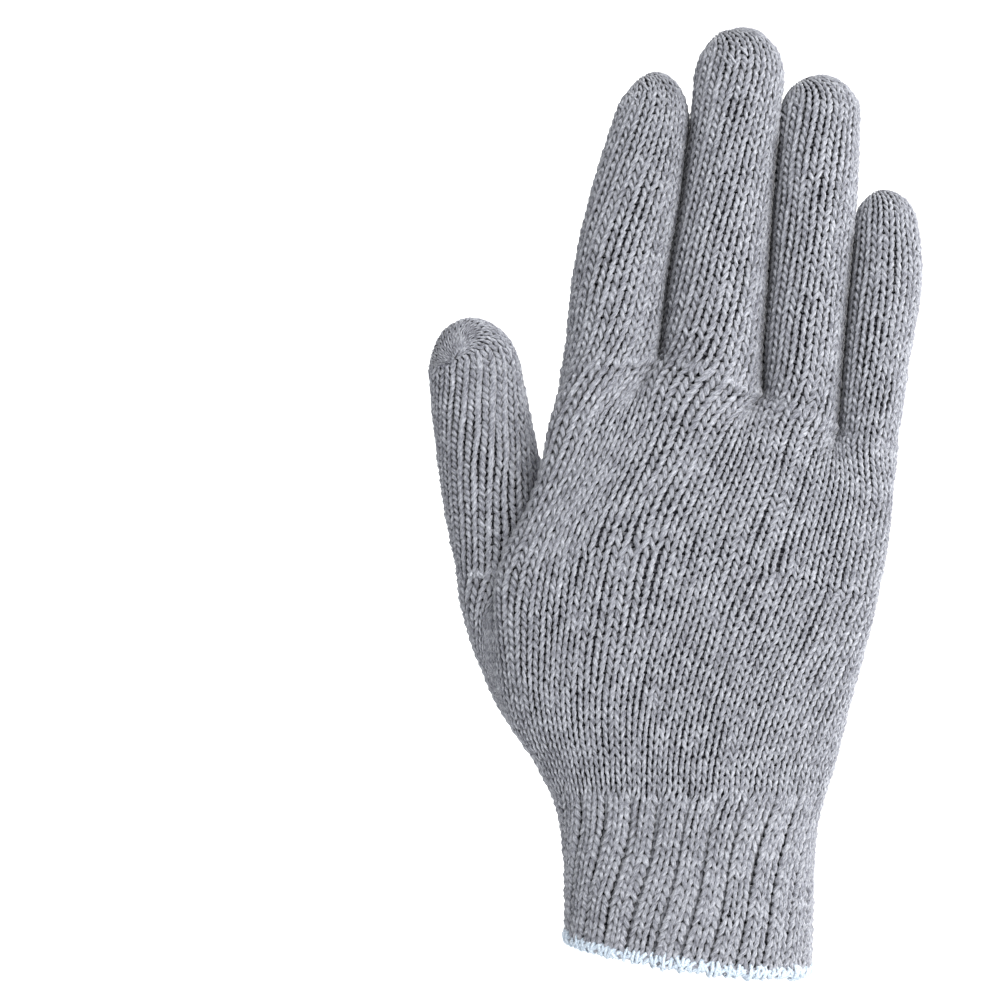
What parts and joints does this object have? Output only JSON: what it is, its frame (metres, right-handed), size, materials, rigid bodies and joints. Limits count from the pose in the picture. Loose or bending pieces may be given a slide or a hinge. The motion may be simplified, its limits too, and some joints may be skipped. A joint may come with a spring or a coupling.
{
  "type": "knitted multipurpose work glove",
  "caption": "Seamless knitted work glove for a right hand, with ribbed elastic cuff and overlocked hem, modelled as worn.",
  "frame": {"origin": "middle of the wrist opening, at the lower edge of the hem", "axes": "+Z along the hand from the wrist to the fingertips, -Y out of the back of the hand, +Y out of the palm side, -X to the thumb side"},
  "size_m": [0.1227, 0.0496, 0.2372],
  "materials": {
    "heather_yarn": "matt heather knit in plain stitch",
    "rib_yarn": "matt heather knit in elastic rib",
    "overlock_thread": "soft overlock thread"
  },
  "bodies": {
    "root": {"hand_body": "heather_yarn", "index_finger": "heather_yarn", "middle_finger": "heather_yarn", "ring_finger": "heather_yarn", "little_finger": "heather_yarn", "thumb": "heather_yarn", "rib_cuff": "rib_yarn", "overlock_hem": "overlock_thread"}
  },
  "joints": []
}
